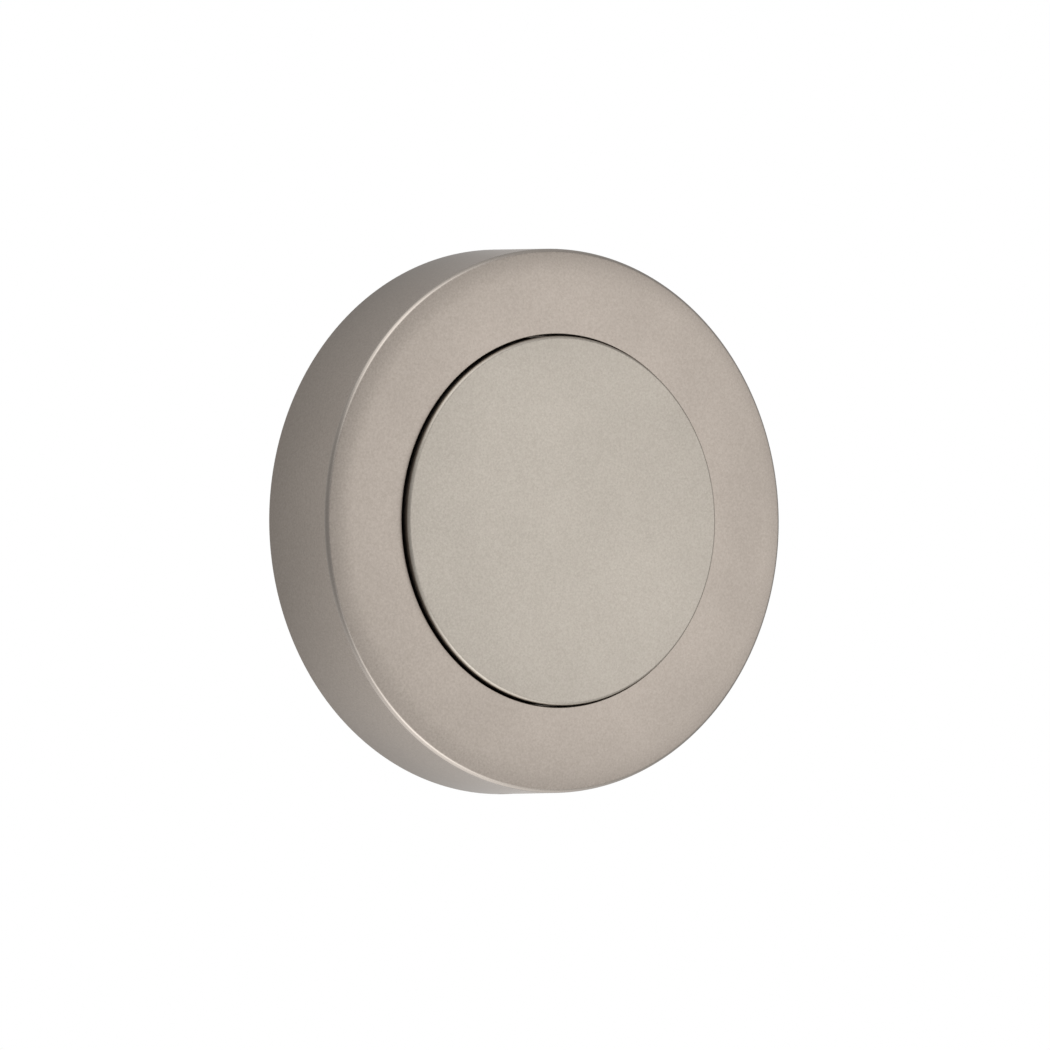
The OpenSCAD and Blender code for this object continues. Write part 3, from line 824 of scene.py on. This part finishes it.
def make_lenses():
    """Four ground lenses. A surface is its ball radius, its edge radius and 1 if it curves towards
    the room or -1 if it curves towards the street."""
    lenses = [
        ("eyepiece_lens", "room_side", None, (10.0, 4.5, 1)),
        ("relay_lens", "street_side", None, (9.0, 3.9, 1)),
        ("middle_lens", "street_side", (6.0, 3.8, 1), (6.0, 3.8, -1)),
        ("objective_lens", "street_side", (7.0, 3.9, -1), (4.5, 3.6, -1)),
    ]
    ease = 0.1
    for name, body, back, front in lenses:
        out_r, back_h, front_h = size_of(name)
        if back and back[2] < 0:
            back_h += sag(*back[:2])
        if front[2] > 0:
            front_h -= sag(*front[:2])
        outline = lens_face(back_h, back)[::-1]
        outline += [(out_r - ease, back_h), (out_r, back_h + ease)]
        outline += [(out_r, front_h - ease), (out_r - ease, front_h)]
        outline += lens_face(front_h, front)
        piece = lathe(name + "_ground", outline, None, LENS_SEGMENTS, LENS_SHARP_ANGLE)
        dress(piece, GLASS, body, name)


make_rose_cover()
make_cover_disc()
make_mounting_plate()
make_door_gasket()
make_sleeve()
make_outer_barrel()
make_plate_screws()
make_turned_rings()
make_magnets()
make_grub_screw()
make_lenses()


# ---------------------------------------------------------------- room, light and camera

def lobe(g, direction, towards, sharpness, strength):
    """Soft light from one side: strongest towards it, fading as a power of the cosine."""
    made = g.node("ShaderNodeVectorMath", operation="DOT_PRODUCT")
    g.feed(made.inputs[0], direction)
    made.inputs[1].default_value = Vector(towards).normalized()
    facing = g.math("MAXIMUM", made.outputs["Value"], 0.0)
    return g.math("MULTIPLY", g.math("POWER", facing, sharpness), strength)


# The brightness all round, and on top of it each soft light: where it comes from, how sharp it is
# and how strong. X is to the right, Z up, and the camera is on the side of negative Y.
SURROUND = 0.379
SOFT_LIGHTS = [
    ((0.58, -0.81, 0.0), 20, 0.76),
    ((0.78, -0.62, 0.0), 14, 0.52),
    ((-0.10, -0.75, 0.65), 14, 1.52),
    ((0.0, -0.75, -0.65), 14, 1.74),
    ((-0.40, -0.25, 0.88), 14, 0.89),
    ((0.0, 0.0, 1.0), 3, 0.24),
    ((0.0, 0.0, -1.0), 3, 1.16),
    ((0.0, 0.70, -0.70), 4, 0.08),
    ((-0.60, 0.80, 0.0), 3, 0.18),
    ((0.55, 0.84, -0.07), 18, 0.85),
]


def make_studio():
    """White seen directly. To the object, a dim surround with soft light in front at the right, above
    and below, and weaker light behind."""
    world = bpy.data.worlds.new("studio")
    bpy.context.scene.world = world
    world.use_nodes = True
    g = Graph(world.node_tree)
    g.tree.nodes.clear()
    direction = g.node("ShaderNodeTexCoord").outputs["Generated"]
    light = SURROUND
    for towards, sharpness, strength in SOFT_LIGHTS:
        light = g.math("ADD", light, lobe(g, direction, towards, sharpness, strength))
    surround = g.node("ShaderNodeBackground")
    surround.inputs["Color"].default_value = colour(1, 1, 1)
    g.feed(surround.inputs["Strength"], light)
    seen = g.node("ShaderNodeBackground")
    seen.inputs["Color"].default_value = colour(1, 1, 1)
    choose = g.node("ShaderNodeMixShader")
    g.feed(choose.inputs[0], g.node("ShaderNodeLightPath").outputs["Is Camera Ray"])
    g.tree.links.new(surround.outputs[0], choose.inputs[1])
    g.tree.links.new(seen.outputs[0], choose.inputs[2])
    g.tree.links.new(choose.outputs[0], g.node("ShaderNodeOutputWorld").inputs[0])


def make_floor():
    """A plain white floor well below the object. It glows but lights nothing, and from below it is
    clear."""
    half, height = 3.0, -0.09
    corners = ((-half, -half), (half, -half), (half, half), (-half, half))
    bm = bmesh.new()
    bm.faces.new([bm.verts.new((x, y, height)) for x, y in corners])
    floor = object_from(bm, "floor")
    material = bpy.data.materials.new("pale_floor")
    material.use_nodes = True
    g = Graph(material.node_tree)
    g.tree.nodes.clear()
    glow = g.node("ShaderNodeEmission")
    glow.inputs["Color"].default_value = colour(1, 1, 1)
    through = g.node("ShaderNodeBsdfTransparent")
    choose = g.node("ShaderNodeMixShader")
    g.feed(choose.inputs[0], g.node("ShaderNodeNewGeometry").outputs["Backfacing"])
    g.tree.links.new(glow.outputs[0], choose.inputs[1])
    g.tree.links.new(through.outputs[0], choose.inputs[2])
    g.tree.links.new(choose.outputs[0], g.node("ShaderNodeOutputMaterial").inputs[0])
    floor.data.materials.append(material)
    floor.visible_glossy = False
    floor.visible_diffuse = False


def make_camera():
    """A long lens, level with the viewer and well round to its left."""
    azimuth, elevation, roll = math.radians(-33.15), math.radians(-0.56), math.radians(-0.19)
    distance, lens = 521 * MM, 187.0
    aim_right, aim_up = 2.06 * MM, -0.315 * MM
    back = Vector((math.sin(azimuth) * math.cos(elevation),
                   -math.cos(azimuth) * math.cos(elevation),
                   math.sin(elevation)))
    right = Vector((math.cos(azimuth), math.sin(azimuth), 0))
    up = back.cross(right)
    data = bpy.data.cameras.new("camera")
    data.lens = lens
    data.sensor_width = 36
    data.clip_start, data.clip_end = 0.01, 20
    camera = bpy.data.objects.new("camera", data)
    bpy.context.scene.collection.objects.link(camera)
    camera.location = back * distance + right * aim_right + up * aim_up
    camera.rotation_mode = "QUATERNION"
    camera.rotation_quaternion = Quaternion(back, roll) @ (-back).to_track_quat("-Z", "Y")
    bpy.context.scene.camera = camera


make_studio()
make_floor()
make_camera()
bpy.context.scene.view_settings.view_transform = "Standard"
